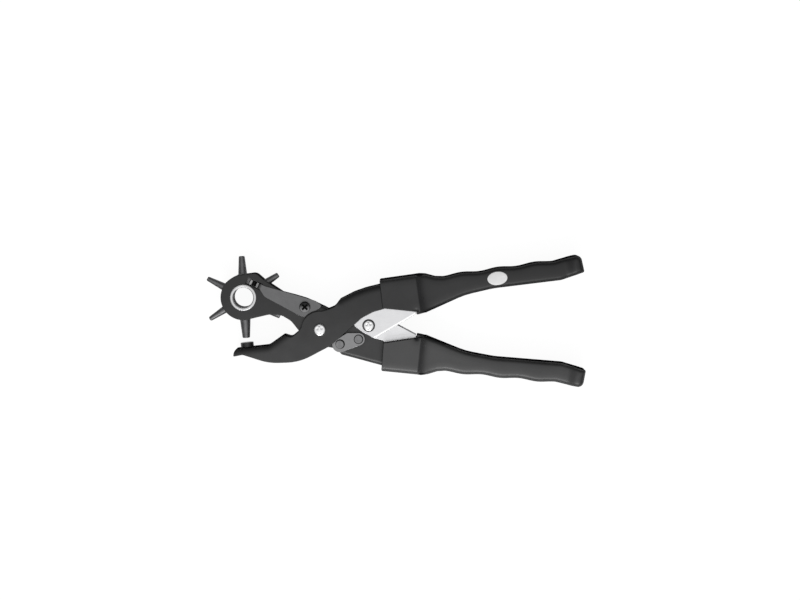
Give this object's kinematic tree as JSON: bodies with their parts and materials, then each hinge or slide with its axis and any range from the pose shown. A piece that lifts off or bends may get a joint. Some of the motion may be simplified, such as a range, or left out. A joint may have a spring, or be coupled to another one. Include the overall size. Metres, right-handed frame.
{
  "type": "rotary hole punch",
  "caption": "Revolving leather hole punch: a turret of conical tubes over an anvil jaw, closed by a compound lever with moulded grips.",
  "frame": {"origin": "middle of the bounding box, on the plane of the rear side that the tool lies on", "axes": "+X from the turret towards the handles, +Y from the lower to the upper handle, +Z out of the front side along the pivots"},
  "size_m": [0.25, 0.0866, 0.022],
  "materials": {
    "coated_sheet": "dark satin coating on pressed sheet steel",
    "grip_plastic": "black moulded plastic",
    "bright_steel": "bright plated steel",
    "leaf_steel": "bright plated sheet",
    "grey_steel": "plain steel",
    "dark_steel": "blackened steel"
  },
  "bodies": {
    "frame": {"anvil_frame": "coated_sheet", "anvil": "dark_steel", "upper_leaf_front": "leaf_steel", "upper_leaf_rear": "leaf_steel", "upper_leaf_rivets": "grey_steel", "upper_grip": "grip_plastic", "main_pivot_rivet": "bright_steel", "handle_pivot_rivet": "bright_steel", "handle_pivot_washers": "dark_steel", "return_spring": "grey_steel"},
    "turret_jaw": {"turret_jaw": "coated_sheet", "jaw_tail": "dark_steel", "tail_dowel": "grey_steel", "turret_eyelet": "bright_steel", "index_spring": "grey_steel", "spring_screw": "dark_steel", "spring_screw_spacer": "grey_steel", "spring_screw_nut": "grey_steel", "tail_link_rivet": "grey_steel"},
    "turret": {"turret_wheel": "dark_steel", "punch_tube_1": "dark_steel", "punch_tube_2": "dark_steel", "punch_tube_3": "dark_steel", "punch_tube_4": "dark_steel", "punch_tube_5": "dark_steel", "punch_tube_6": "dark_steel"},
    "lower_handle": {"lower_lever": "coated_sheet", "lower_leaf_front": "leaf_steel", "lower_leaf_rear": "leaf_steel", "lower_leaf_rivets": "grey_steel", "lower_grip": "grip_plastic", "lever_link_rivet": "grey_steel"},
    "link": {"link_front": "grey_steel", "link_rear": "grey_steel"}
  },
  "joints": [
    {"name": "handle_squeeze", "type": "hinge", "parent": "frame", "child": "lower_handle", "pos_m": [-0.01784, -0.00275, 0.01098], "axis": [0, 0, 1], "range_deg": [-2.5, 5], "stiffness_Nm_per_rad": 0.6, "deforming": ["return_spring"]},
    {"name": "jaw_swing", "type": "hinge", "parent": "frame", "child": "turret_jaw", "pos_m": [-0.04994, -0.00545, 0.01098], "axis": [0, 0, 1], "range_deg": [-1.6, 3.2]},
    {"name": "link_swing", "type": "hinge", "parent": "lower_handle", "child": "link", "pos_m": [-0.02454, -0.01185, 0.01098], "axis": [0, 0, 1], "range_deg": [-11.2, 5.6]},
    {"name": "turret_turn", "type": "hinge", "parent": "turret_jaw", "child": "turret", "pos_m": [-0.10024, 0.01565, 0.01098], "axis": [0, 0, 1], "continuous": true, "deforming": ["index_spring"]}
  ],
  "couplings": [
    {"joint": "jaw_swing", "follows": "handle_squeeze", "ratio": 0.619},
    {"joint": "link_swing", "follows": "handle_squeeze", "ratio": -2.218}
  ]
}
